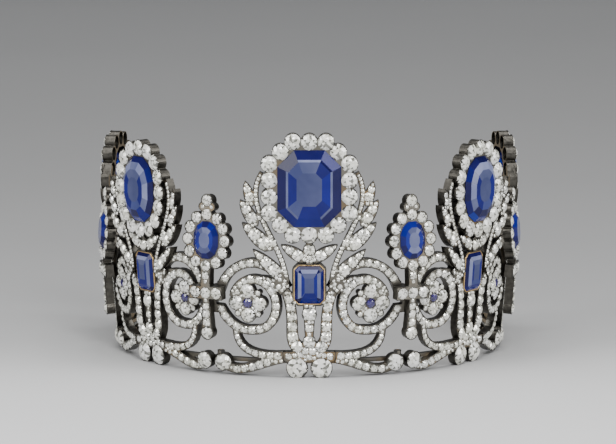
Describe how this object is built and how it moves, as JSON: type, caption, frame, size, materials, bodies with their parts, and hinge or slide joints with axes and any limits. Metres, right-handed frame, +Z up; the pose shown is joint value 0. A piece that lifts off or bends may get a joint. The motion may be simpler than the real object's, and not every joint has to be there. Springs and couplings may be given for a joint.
{
  "type": "diadem",
  "caption": "Open-backed diadem of hinged pierced panels with scrolls and laurel, oval and octagonal sapphire clusters in diamonds, and small sapphire spires over the hinges.",
  "frame": {"origin": "centre of the circlet at the height of the surface that it stands on", "axes": "+Z up, -Y to the front where the largest cluster is, +X to the viewer's right"},
  "size_m": [0.1098, 0.0865, 0.062],
  "materials": {
    "silver": "aged silver, dark in the recesses",
    "sapphire": "cut and polished",
    "diamond": "cut and polished",
    "gold": "satin"
  },
  "bodies": {
    "panel_centre": {"frame_centre": "silver", "sapphire_centre": "sapphire", "stem_sapphire_centre": "sapphire", "flower_sapphires_centre": "sapphire", "halo_diamonds_centre": "diamond", "panel_diamonds_centre": "diamond"},
    "panel_left_inner": {"frame_left_inner": "silver", "sapphire_left_inner": "sapphire", "stem_sapphire_left_inner": "sapphire", "flower_sapphires_left_inner": "sapphire", "halo_diamonds_left_inner": "diamond", "panel_diamonds_left_inner": "diamond", "spire_left_inner": "silver", "spire_sapphire_left_inner": "sapphire", "spire_diamonds_left_inner": "diamond", "hinge_pins_left_inner": "gold"},
    "panel_right_inner": {"frame_right_inner": "silver", "sapphire_right_inner": "sapphire", "stem_sapphire_right_inner": "sapphire", "flower_sapphires_right_inner": "sapphire", "halo_diamonds_right_inner": "diamond", "panel_diamonds_right_inner": "diamond", "spire_right_inner": "silver", "spire_sapphire_right_inner": "sapphire", "spire_diamonds_right_inner": "diamond", "hinge_pins_right_inner": "gold"},
    "panel_left_outer": {"frame_left_outer": "silver", "sapphire_left_outer": "sapphire", "stem_sapphire_left_outer": "sapphire", "flower_sapphires_left_outer": "sapphire", "halo_diamonds_left_outer": "diamond", "panel_diamonds_left_outer": "diamond", "spire_left_outer": "silver", "spire_sapphire_left_outer": "sapphire", "spire_diamonds_left_outer": "diamond", "hinge_pins_left_outer": "gold"},
    "panel_right_outer": {"frame_right_outer": "silver", "sapphire_right_outer": "sapphire", "stem_sapphire_right_outer": "sapphire", "flower_sapphires_right_outer": "sapphire", "halo_diamonds_right_outer": "diamond", "panel_diamonds_right_outer": "diamond", "spire_right_outer": "silver", "spire_sapphire_right_outer": "sapphire", "spire_diamonds_right_outer": "diamond", "hinge_pins_right_outer": "gold"}
  },
  "joints": [
    {"name": "hinge_right_inner", "type": "hinge", "parent": "panel_centre", "child": "panel_right_inner", "pos_m": [0.02228, -0.04121, 0.01263], "axis": [0, 0, 1], "range_deg": [-4, 8]},
    {"name": "hinge_left_inner", "type": "hinge", "parent": "panel_centre", "child": "panel_left_inner", "pos_m": [-0.02228, -0.04121, 0.01263], "axis": [0, 0, -1], "range_deg": [-4, 8]},
    {"name": "hinge_right_outer", "type": "hinge", "parent": "panel_right_inner", "child": "panel_right_outer", "pos_m": [0.04589, -0.00942, 0.01263], "axis": [0, 0, 1], "range_deg": [-4, 8]},
    {"name": "hinge_left_outer", "type": "hinge", "parent": "panel_left_inner", "child": "panel_left_outer", "pos_m": [-0.04589, -0.00942, 0.01263], "axis": [0, 0, -1], "range_deg": [-4, 8]}
  ]
}
